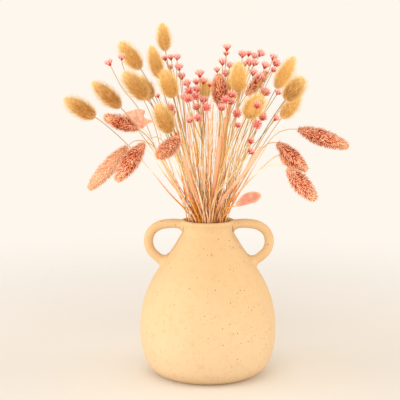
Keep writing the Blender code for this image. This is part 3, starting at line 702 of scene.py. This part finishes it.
stalk = Finish("dry_straw", Roughness=0.6, Specular_IOR_Level=0.2)
dyes = [(0.0, tone(124, 98, 56)), (0.2, tone(226, 188, 118)), (0.4, tone(255, 250, 216)),
        (0.58, tone(250, 186, 148)), (0.75, tone(240, 180, 84)), (0.88, tone(206, 124, 34)),
        (1.0, tone(140, 72, 10))]
straw_colour = stalk.node("ShaderNodeValToRGB", {"stops": dyes}, {0: stalk.value("tint")})
height = stalk.node("ShaderNodeSeparateXYZ", {}, {0: stalk.place()}, 2)
lengthwise = stalk.node("ShaderNodeMapping", {}, {"Vector": stalk.place(), "Scale": (1, 1, 0.12)})
streaks = stalk.noise(2.2, 2, lengthwise).between(0.35, 0.75)
# Near the mouth the stems are darker and browner, with stronger streaks: partly their own brown, partly
# painted shade among the crowded stems.
low = 1 - height.between(0.165, 0.25)
streaked = stalk.mix(streaks * (low * 0.7 + 0.08), straw_colour, tone(176, 98, 22))
browned = stalk.mix(low * 0.44, streaked, tone(206, 118, 10))
dry_straw = stalk.wear(Base_Color=browned, Roughness=streaks * 0.2 + 0.5,
                       Normal=stalk.bump(stalk.noise(0.7, 1, lengthwise), 0.08))

# A hair is a flat blade: two corners at its root, two where it bends, and its end. It pales on the way.
HAIR_FACES = ((0, 1, 3, 2), (2, 3, 4))
BEFORE_BEND = 0.55
AFTER_BEND = 0.45
HAIR_PALES = np.array([0, 0, BEFORE_BEND, BEFORE_BEND, 1])
# How many degrees a hair leans to the tip at the head's foot, and how many more at its tip
HAIR_LEAN = (24, 50)
for number, ((line, head), tail, ripened) in enumerate(zip(tail_bones, BUNNY_TAILS, RIPENED), 1):
    draw = np.random.default_rng(number)
    foot, tip = settled[head[0]], settled[head[-1]]
    shorter, slimmer = HEAD_SHARES.get(number, (1, 1))
    tip = foot + (tip - foot) * HEAD_LENGTH * shorter
    half_width = tail[2] * slimmer
    across, over, along = head_axes(foot, tip)
    shape = Shape()
    head_core(shape, foot, tip, half_width * CORE_SHARE, swell, along=0.3, tint=0.5, ripened=ripened)
    for count, width, reach, uneven, twist, pale in COATS:
        height = draw.uniform(0, 1, count) ** 0.9
        turn = draw.uniform(0, math.tau, count)
        out = spokes(across, over, turn)
        girth = (half_width * swell(height) * (1.1 - 0.5 * height ** 2))[:, None]
        lean = (np.radians(HAIR_LEAN[0] + HAIR_LEAN[1] * height) + draw.normal(0, 0.2, count))[:, None]
        first_way = out * np.cos(lean) + along * np.sin(lean)
        last_way = unit(first_way + along * 0.6 + draw.normal(0, 0.2, (count, 3)))
        length = girth * (1 - ROOTS_SHARE) / np.maximum(np.cos(lean), 0.45) + 1.2
        length = length * reach * draw.uniform(1 - uneven, 1 + uneven, (count, 1))
        length *= 1 - 0.2 * height[:, None]
        root = foot + along * (height * 0.95 * math.dist(foot, tip))[:, None] + out * girth * ROOTS_SHARE
        middle = root + first_way * length * BEFORE_BEND
        end = middle + last_way * length * AFTER_BEND
        half = unit(np.cross(first_way, out + draw.normal(0, twist, (count, 3)))) * width / 2
        corners = np.stack([root - half, root + half, middle - half * 0.8, middle + half * 0.8, end], axis=1)
        # Dark bristles show among the gold, most of them below the middle of a ripe head.
        height = height[:, None]
        share = (0.12 + 0.3 * ripened) * (1 - height) * np.clip(5 * height, 0, 1)
        dark = draw.uniform(0, 1, (count, 1)) > 1 + pale - share
        shape.repeat(corners, HAIR_FACES, along=pale + (1 - pale) * HAIR_PALES, height=height,
                     tint=np.where(dark, 1.0, 0.4), ripened=ripened)
    name = f"bunny_tail_{number:02d}"
    fluff = shape.piece(name + "_head", golden_fuzz)
    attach(fluff, "root")
    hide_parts(name)

    shape = Shape()
    points = [*settled[line], foot, foot + (tip - foot) * STEM_INTO_HEAD]
    stem(shape, even_line(points, STEM_STEP), *TAIL_STALK, draw.choice(LOW_TINTS), draw.uniform(0.035, 0.17))
    straw = shape.piece(name + "_stem", dry_straw)
    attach(straw, "root")
    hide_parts(name)

# The canary grass: heavier heads of pointed, keeled bracts that overlap like scales, dyed salmon
# pink, on stems that nod under them. They are darker between the bracts than at their pale tips:
# partly the dye's deeper red, partly painted shade.
# An ear 50 long and 10 in half width has this many bracts.
EAR_BRACTS = 1400
USUAL_EAR = 50 * 10
BRACT_LENGTH = 4.8
BRACT_WIDTH = 1.25
EAR_CORE = 0.7
EAR_STALK = (1.15, 0.46)
# The bracts add to an ear's length, so some are set shorter. Each is its length and width, as shares.
EAR_SHARES = {1: (0.94, 1), 7: (0.95, 1), 8: (0.95, 0.84), 9: (0.92, 1.12)}
# One bract as (across, along, out), in three rows and a tip.
BRACT = np.array([(-0.2, 0, 0), (0, 0, 0.1), (0.2, 0, 0), (-0.5, 0.42, 0), (0, 0.4, 0.3), (0.5, 0.42, 0),
                  (-0.32, 0.78, 0), (0, 0.76, 0.24), (0.32, 0.78, 0), (0, 1.06, 0.06)])
BRACT_FACES = ((0, 1, 4, 3), (1, 2, 5, 4), (3, 4, 7, 6), (4, 5, 8, 7), (6, 7, 9), (7, 8, 9))
SHEATH_FOLD = 0.35
# The fifth ear's stem still wears its broad leaf sheath.
SHEATHED_EAR = 5
BROAD_SHEATH = 2.4
SHEATH_IN_FRONT = 1.6
# How dark each ear is between its bracts about midway, from 0 to 1: partly the dye, partly painted shade.
# Below 0 the ear is paler: the 2nd is bleached, and the 4th is painted light for the shade of the ears round
# it.
BROWNED_AND_SHADED = (0.9, -0.6, 0.8, -0.2, 0.7, 0.6, 0.7, 0.75, 0.65, 0.6, 0.4, 0.3)


def ear_girth(along):
    """How full an ear is there: a spindle, slimmer at its foot than a bunny tail."""
    return np.sin(np.pi * np.clip(along, 0.03, 0.98)) ** (0.85 - 0.4 * along)


def sheath(shape, bones, half_width, tint):
    """A strip of dry leaf along a stem, folded a little along the middle."""
    line = even_line(bones, STEM_STEP)
    facing = unit(EYE - line)
    across = unit(np.cross(np.gradient(line, axis=0), facing))
    opened = np.clip((line[:, 2] - NECK_HEIGHT) / (MOUTH_HEIGHT + 20 - NECK_HEIGHT), 0.4, 1)
    half = (half_width * opened * (1 + 0.12 * np.sin(line[:, 2] / 9)))[:, None]
    edge = line + facing * half * SHEATH_FOLD
    back = line - facing * 0.5
    rings = np.stack([edge - across * half, line, edge + across * half, back + across * half * 0.9,
                      back - facing * 0.2, back - across * half * 0.9], axis=1)
    shape.skin(rings[:, ::-1], capped=True, tint=tint)


dyed = Finish("salmon_bracts", Roughness=0.75, Specular_IOR_Level=0.25)
# The bracts' roots and the core are painted dark red: partly the dye, partly painted shade between the
# bracts. About midway the dark reaches farther up them.
midway = dyed.value("height").between(0, 0.4) * (1 - dyed.value("height").between(0.55, 1))
along = dyed.value("along") - dyed.value("browned") * midway * dyed.noise(8, 2).between(0.3, 0.6) * 0.45
scale = dyed.mix(along.between(0.05, 0.36), tone(158, 50, 8), tone(253, 164, 112))
pale_tip = dyed.mix(along.between(0.33, 0.82), scale, tone(255, 231, 204))
uneven = dyed.mix(dyed.value("tint") ** 2 * 0.3, pale_tip, tone(218, 106, 68))
sunned = dyed.mix(dyed.value("height").between(0.6, 1.0) * 0.25, uneven, tone(250, 192, 120))
paler_foot = dyed.mix((1 - dyed.value("height").between(0.05, 0.28)) * 0.6, sunned, tone(252, 198, 160))
# Below 0 an ear is paler: bleached, and on the 4th ear painted light for the shade on it.
bleach_and_painted_light = dyed.mix((0 - dyed.value("browned")) * 0.8, paler_foot, tone(255, 206, 160))
salmon_bracts = dyed.wear(Base_Color=bleach_and_painted_light, Normal=dyed.bump(dyed.noise(0.8, 2), 0.1))

for number, ((line, head), ear, browned) in enumerate(zip(ear_bones, CANARY_GRASS, BROWNED_AND_SHADED), 1):
    draw = np.random.default_rng(100 + number)
    foot, tip = settled[head[0]], settled[head[-1]]
    longer, wider = EAR_SHARES.get(number, (1, 1))
    tip = foot + (tip - foot) * longer
    half_width = ear[2] * wider
    across, over, along = head_axes(foot, tip)
    shape = Shape()
    head_core(shape, foot, tip, half_width * EAR_CORE, ear_girth, along=0, tint=0.9, browned=browned)
    count = round(EAR_BRACTS * math.dist(foot, tip) * half_width / USUAL_EAR)
    height = np.clip((np.arange(count) + 0.5) / count + draw.normal(0, 0.012, count), 0, 1)
    turn = np.arange(count) * GOLDEN_TURN + draw.normal(0, 0.25, count)
    out = spokes(across, over, turn)
    reach = (half_width * ear_girth(height))[:, None]
    lean = (np.radians(26 + 38 * height) + draw.normal(0, 0.3, count))[:, None]
    way = out * np.cos(lean) + along * np.sin(lean)
    sideways = unit(np.cross(along, out) + way * draw.normal(0, 0.12, (count, 1)))
    outward = np.cross(sideways, way)
    size = draw.uniform(0.82, 1.15, (count, 1, 1)) * (0.72 + 0.28 * ear_girth(height))[:, None, None]
    root = foot + along * (height * 0.94 * math.dist(foot, tip))[:, None] + out * reach * 0.6
    corners = root[:, None] + size * (sideways[:, None] * BRACT[:, :1] * BRACT_WIDTH
                                      + way[:, None] * BRACT[:, 1:2] * BRACT_LENGTH
                                      + outward[:, None] * BRACT[:, 2:] * BRACT_WIDTH)
    shape.repeat(corners, BRACT_FACES, along=BRACT[:, 1], height=height[:, None],
                 tint=draw.uniform(0, 1, (count, 1)), browned=browned)
    name = f"canary_grass_{number:02d}"
    seeds = shape.piece(name + "_head", salmon_bracts)
    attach(seeds, "root")
    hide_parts(name)

    shape = Shape()
    points = [*settled[line], foot, foot + (tip - foot) * STEM_INTO_HEAD]
    stem(shape, even_line(points, STEM_STEP), *EAR_STALK, draw.choice(LOW_TINTS), draw.uniform(0.1, 0.22))
    if number == SHEATHED_EAR:
        sheath(shape, settled[line] + unit(EYE - foot) * SHEATH_IN_FRONT, BROAD_SHEATH, tint=0.6)
    straw = shape.piece(name + "_stem", dry_straw)
    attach(straw, "root")
    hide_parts(name)

# The star flowers: papery everlasting daisies about a centimetre across, dyed coral, on forked wiry
# stalks. A scaly red cup opens into three rings of pointed petals round a small brown eye.
# The cup as (radius, level), from its heel over the rim into the eye, in shares of width and height.
CUP = ((0.08, 0.0), (0.2, 0.08), (0.32, 0.2), (0.4, 0.34), (0.42, 0.46), (0.36, 0.5), (0.3, 0.42),
       (0.2, 0.44), (0.1, 0.5), (0.01, 0.51))
CUP_EYE = (0, 0, 0, 0, 0, 0, 0.2, 0.6, 1, 1)
CUP_SIDES = 12
# Each ring of petals as its number, where the petals start and end as (radius, level), their width, and
# how pale they start: the outer ring is nearly as red as the cup.
PETAL_RINGS = ((9, (0.38, 0.3), (1.04, 0.8), 0.42, 0.1), (7, (0.28, 0.38), (0.74, 0.98), 0.36, 0.42),
               (5, (0.14, 0.44), (0.38, 0.98), 0.28, 0.46))
PETAL_ROWS = 5
# How far a petal's edges curl up
PETAL_CURL = 0.04
BLOOM_SHARE = 0.93
STEM_INTO_CUP = 0.22
STAR_STALK = (0.9, 0.42)

paper = Finish("coral_petals", Roughness=0.7, Specular_IOR_Level=0.3)
coral = paper.mix(paper.value("tint") * 0.4, tone(248, 156, 138), tone(240, 124, 118))
petal = paper.mix(paper.value("along").between(0.08, 0.5), tone(192, 58, 4), coral)
pale_edge = paper.mix(paper.value("along").between(0.45, 0.92), petal, tone(254, 218, 206))
eyed = paper.mix(paper.value("eye"), pale_edge, tone(228, 124, 82))
coral_petals = paper.wear(Base_Color=eyed, Normal=paper.bump(paper.noise(0.5, 2), 0.06))


def star_flower(shape, base, rim, half_width, draw):
    across, over, along = head_axes(base, rim)
    height = math.dist(base, rim)
    spin = draw.uniform(0, math.tau)
    tint = draw.uniform(0, 1)

    def at(radius, level, angle, sideways=0.0):
        """A point of the flower, moved sideways from the line through that angle."""
        out = across * math.cos(angle) + over * math.sin(angle)
        beside = over * math.cos(angle) - across * math.sin(angle)
        return base + along * level * height + (out * radius + beside * sideways) * half_width

    cup = [[at(radius, level, spin + math.tau * side / CUP_SIDES) for side in range(CUP_SIDES)]
           for radius, level in CUP]
    shape.skin(cup, capped=True, along=0, eye=CUP_EYE, tint=tint)
    for count, start, end, width, first_shade in PETAL_RINGS:
        for number in range(count):
            angle = spin + math.tau * (number + draw.uniform(-0.12, 0.12)) / count
            long = draw.uniform(0.88, 1.02)
            lift = draw.uniform(-0.06, 0.06)
            rows = []
            for row in range(PETAL_ROWS):
                t = row / (PETAL_ROWS - 1)
                radius = start[0] + (end[0] * long - start[0]) * t ** 0.85
                level = start[1] + (end[1] + lift - start[1]) * t ** 1.25
                half = width / 2 * max(math.sin(math.pi * (0.16 + 0.84 * t)) ** 0.8, 0.04)
                rows.append([at(radius, level + PETAL_CURL, angle, -half), at(radius, level, angle),
                             at(radius, level + PETAL_CURL, angle, half)])
            shades = np.linspace(first_shade, 1, PETAL_ROWS)
            shape.skin(rows, open_sided=True, along=shades, eye=0, tint=draw.uniform(0, 1))
        spin += math.pi / count


for number, (lines, stars) in enumerate(zip(spray_bones, STAR_SPRAYS), 1):
    draw = np.random.default_rng(200 + number)
    blooms = Shape()
    stalks = Shape()
    low_tint, high_tint = draw.choice(LOW_TINTS), draw.uniform(0.05, 0.21)
    for line, star in zip(lines, stars):
        base, rim = settled[line[-2]], settled[line[-1]]
        star_flower(blooms, base, rim, star[3] * BLOOM_SHARE, draw)
        way = settled[line[:-2]]
        if line is not lines[0]:
            fork = lines[0].index(line[0])
            if len(stars) == 2:
                # The pair forks low down, so its second stalk runs beside the first.
                top = settled[lines[0][-2]]
                way = settled[lines[0][3:-2]]
                beside = np.linspace(0, 1, len(way) + 1)[:-1, None] ** 0.8
                way = way + (base - top) * beside
            else:
                # Each stalk first follows the main stem, so that it parts from it smoothly.
                way = np.vstack([settled[lines[0][fork - 1]], way])
        points = [*way, base, base + (rim - base) * STEM_INTO_CUP]
        stem(stalks, even_line(points, STEM_STEP), *STAR_STALK, low_tint, high_tint)
    name = f"star_spray_{number:02d}"
    flowers = blooms.piece(name + "_flowers", coral_petals)
    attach(flowers, "root")
    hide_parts(name)
    twigs = stalks.piece(name + "_stalks", dry_straw)
    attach(twigs, "root")
    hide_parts(name)

# Bare straws and flat leaf sheaths fill the middle of the bouquet and wedge the stems in the neck.
# The sheaths are strips of dry leaf, folded a little along the middle and torn off at the end.
STRAW_TINTS = (0.7, 0.4, 0.84, 0.46, 0.38, 0.76)
SHEATH_TINTS = (0.54, 0.58, 0.64, 0.6)
SHEATH_SPREAD = 2.0
BARE_STALK = (1.25, 0.85)

for number, (bones, tint) in enumerate(zip(straw_bones, STRAW_TINTS), 1):
    shape = Shape()
    stem(shape, even_line(settled[bones], STEM_STEP), *BARE_STALK, tint, tint)
    name = f"straw_{number:02d}"
    straw = shape.piece(name + "_stem", dry_straw)
    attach(straw, "root")
    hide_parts(name)

for number, (bones, tint) in enumerate(zip(sheath_bones, SHEATH_TINTS), 1):
    shape = Shape()
    sheath(shape, settled[bones], SHEATH_SPREAD, tint)
    name = f"leaf_sheath_{number:02d}"
    strip = shape.piece(name + "_strip", dry_straw)
    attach(strip, "root")
    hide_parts(name)

# Fine loose straws, thinner than the flower stems, stand between them from the vase's floor to
# somewhere under the flowers. They fill the mouth and give the bunch its many pale lines.
FINE_STRAWS = 96
FINE_RADIUS = 0.36
FINE_NECK = (13.0, 19.0)
FINE_REACH = 22.8
FINE_STEP = 30
# How much farther out than in the neck their cut ends stand, and how readily they move in the mouth
FINE_SPLAY = 1.5
FINE_GIVE = 0.3
CRINKLE = 0.35
FINE_TINTS = (0.26, 0.36, 0.4, 0.44, 0.7, 0.8, 0.9, 1.0)

bouquet.give = [0] * len(bouquet.give)
bouquet.rigid = []
draw = np.random.default_rng(7)
fine_bones = []
for number in range(FINE_STRAWS):
    turn = number * GOLDEN_TURN
    share = math.sqrt((number + 0.5) / FINE_STRAWS)
    seat = FINE_REACH * share * np.array([math.cos(turn), math.sin(turn)])
    neck = draw.uniform(*FINE_NECK) * np.array([math.cos(turn), math.sin(turn)])
    right = seat[0] * draw.uniform(1.2, 3.2) + draw.normal(0, 6)
    up = draw.uniform(76, 122)
    tip = sighted(right, up, seat[1] * draw.uniform(0.8, 2.0))
    course = fair_line([mouth_point(seat), tip], [FINE_STEP])
    line = stem_points(neck * FINE_SPLAY, neck, course, FINE_RADIUS, mouth_give=FINE_GIVE)
    bouquet.join(1000 + number, line)
    fine_bones.append(line)
bouquet.settle(rounds=160)
settled_fine = np.array(bouquet.places)
shape = Shape()
for line in fine_bones:
    tint = draw.choice(FINE_TINTS)
    crinkled = even_line(settled_fine[line], STEM_STEP)
    crinkled[1:] += draw.normal(0, CRINKLE, (len(crinkled) - 1, 3))
    # They pale to cream towards their tips.
    stem(shape, crinkled, draw.uniform(0.35, 0.75), 0.28, tint, tint * 0.65 + 0.14)
filler = shape.piece("fine_straws", dry_straw)
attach(filler, "root")

# The two dyed leaves: a small pink oval one by the mouth, and a pale peach one with pointed lobes
# behind the left-hand ear. Both are thin and dry, arched, and creased along their ribs.
# Their outlines and the ends of their ribs are (right, up) from the foot, in the line of sight.
OVAL_OUTLINE = ((-3.2, -1.4), (-0.4, -2.2), (6, -0.8), (13, 1), (19.6, 3.2), (23, 6.4), (24.6, 9.4),
                (23.6, 12), (19.8, 13.8), (15.6, 14.2), (10.4, 13.4), (6, 11.6), (2.6, 8.8), (-0.8, 4.8),
                (-3.6, 0.4))
OVAL_RIBS = ((24, 9),)
LOBED_OUTLINE = ((0, 0), (6, 5), (11.4, 8.2), (4.6, 10.2), (1.6, 12.6), (2.6, 19), (-0.6, 20.2), (-4, 21),
                 (-8, 20.2), (-12.6, 18.8), (-17, 17.4), (-21.2, 14.4), (-17, 10), (-12.6, 5.6), (-7.4, 0.2),
                 (-5, -1))
LOBED_RIBS = ((11, 8), (2, 18.6), (-20.6, 14.2), (-8, 19.6))
LEAF_ROWS = 12
LEAF_ARCH = 2.6
LEAF_CREASE = 0.16
LEAF_THICKNESS = 0.35
RIM_STEP = 1.5
STEM_INTO_LEAF = 0.12
LEAF_STALK = (0.6, 0.45)
LEAF_STALK_TINTS = (0.82, 0.3)

leaf = Finish("dyed_leaf", Roughness=0.65, Specular_IOR_Level=0.3)
clouds = leaf.noise(6, 4).between(0.38, 0.64)
blush = leaf.mix(clouds, tone(210, 136, 112), tone(216, 156, 130))
peach = leaf.mix(clouds, tone(244, 182, 154), tone(254, 214, 186))
dyed_both = leaf.mix(leaf.value("tint"), blush, peach)
pale_edge = leaf.mix(leaf.value("edge").between(0.75, 1) * 0.5, dyed_both, tone(252, 212, 174))
creased = leaf.mix((1 - leaf.value("rib").between(0.1, 0.7)) * 0.55, pale_edge, tone(226, 112, 74))
dyed_leaf = leaf.wear(Base_Color=creased, Normal=leaf.bump(leaf.noise(1.6, 3), 0.25))


def from_ribs(places, ribs):
    """How far each place on the leaf is from the nearest rib."""
    ends = np.array(ribs, float)
    shares = np.clip(places @ ends.T / (ends ** 2).sum(axis=1), 0, 1)
    return norm(places[..., None, :] - shares[..., None] * ends, axis=-1).min(axis=-1)


def leaf_blade(shape, foot, outline, ribs, tint):
    """A thin arched leaf that faces the eye, with a sheet of points in front and one behind."""
    facing = unit(EYE - foot)
    right = unit(np.cross(CARD_UP, facing))
    rim = even_line([*outline, outline[0]], RIM_STEP)[:-1]
    centre = np.mean(outline, axis=0)
    sheets = []
    for way in (1, -1):
        for t in np.linspace(0.02, 1, LEAF_ROWS)[::way]:
            places = centre + (rim - centre) * t
            rib = from_ribs(places, ribs)
            height = LEAF_ARCH * (1 - t * t) + LEAF_CREASE * rib + way * LEAF_THICKNESS / 2
            points = foot + right * places[:, :1] + CARD_UP * places[:, 1:] + facing * height[:, None]
            sheets.append((points, t, rib))
    rings, edge, rib = zip(*sheets)
    shape.skin(rings, edge=edge, rib=rib, tint=tint)


kinds = (("oval_leaf", OVAL_OUTLINE, OVAL_RIBS, 0.0), ("lobed_leaf", LOBED_OUTLINE, LOBED_RIBS, 1.0))
for (line, tips), (name, outline, ribs, tint) in zip(leaf_bones, kinds):
    foot, tip = settled[line[-1]], settled[tips[-1]]
    shape = Shape()
    leaf_blade(shape, foot, outline, ribs, tint)
    blade = shape.piece(name + "_blade", dyed_leaf)
    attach(blade, "root")
    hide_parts(name)
    shape = Shape()
    points = [*settled[line], foot + (tip - foot) * STEM_INTO_LEAF]
    stem(shape, even_line(points, STEM_STEP), *LEAF_STALK, *LEAF_STALK_TINTS)
    petiole = shape.piece(name + "_stalk", dry_straw)
    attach(petiole, "root")
    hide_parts(name)

# The studio: a pale warm floor that fades into a bright plain background, with large soft lights at
# both sides, above and in front, and a long lens on the bouquet's line of sight.
SWEEP_RADIUS = 1500.0
SWEEP_SIDES = 96

studio = Shape()
angles = turns(SWEEP_SIDES)
circle = np.stack([np.cos(angles), np.sin(angles), np.zeros(SWEEP_SIDES)], axis=1)
studio.skin([circle * radius for radius in (0.01, 120, 300, 600, 1000, SWEEP_RADIUS)][::-1])
sheet = Finish("floor_paper", Roughness=0.9)
spot = sheet.place()
distance = sheet.node("ShaderNodeVectorMath", {"operation": 'LENGTH'}, {0: spot}, "Value")
# The floor is painted lighter near the vase: painted light that makes up for the vase's shadow on it.
painted_light_near_vase = sheet.mix(distance.between(0.06, 0.3), tone(228, 222, 213), tone(219, 213, 207))
floor = studio.piece("floor", sheet.wear(Base_Color=painted_light_near_vase, Alpha=1 - distance.between(0.12, 0.95)))

world = bpy.data.worlds.new("studio")
bpy.context.scene.world = world
world.use_nodes = True
sky = world.node_tree.nodes["Background"]
sky.inputs["Color"].default_value = tone(254, 247, 237)
# The bright background is for the eye alone: the room's own soft light is dimmer.
seen = world.node_tree.nodes.new("ShaderNodeLightPath").outputs["Is Camera Ray"]
strength = world.node_tree.nodes.new("ShaderNodeMapRange")
strength.inputs["To Min"].default_value = 0.95
world.node_tree.links.new(seen, strength.inputs["Value"])
world.node_tree.links.new(strength.outputs[0], sky.inputs["Strength"])


def softbox(name, place, target, size, power, colour):
    lamp = bpy.data.lights.new(name, 'AREA')
    lamp.shape = 'SQUARE'
    lamp.size = size
    lamp.energy = power
    lamp.color = colour
    thing = bpy.data.objects.new(name, lamp)
    thing.location = place
    thing.rotation_euler = (Vector(target) - Vector(place)).to_track_quat('-Z', 'Y').to_euler()
    bpy.context.scene.collection.objects.link(thing)


softbox("left_softbox", (-1.3, -0.1, 0.3), (0, 0, 0.06), 0.9, 8.5, (1, 0.99, 0.98))
softbox("right_softbox", (1.3, 0, 0.35), (0, 0, 0.06), 0.9, 7, (1, 0.94, 0.84))
softbox("top_softbox", (-0.2, -0.6, 1.5), (0, 0, 0.2), 0.8, 4, (1, 0.95, 0.87))
softbox("front_softbox", (-0.3, -1.6, 0.15), (0, 0, 0.06), 0.8, 11, (1, 0.97, 0.94))

# Half of what the frame shows across, in the plane of the vase's axis
SEEN_HALF_WIDTH = 220.0

lens = bpy.data.cameras.new("long_lens")
lens.sensor_width = 36
lens.lens = lens.sensor_width / 2 / (SEEN_HALF_WIDTH / VIEW_DISTANCE)
lens.clip_start = 0.05
camera = bpy.data.objects.new("camera", lens)
camera.location = EYE * MM
camera.rotation_euler = Vector(FORWARD).to_track_quat('-Z', 'Y').to_euler()
bpy.context.scene.collection.objects.link(camera)
bpy.context.scene.camera = camera
bpy.context.scene.view_settings.view_transform = 'Standard'
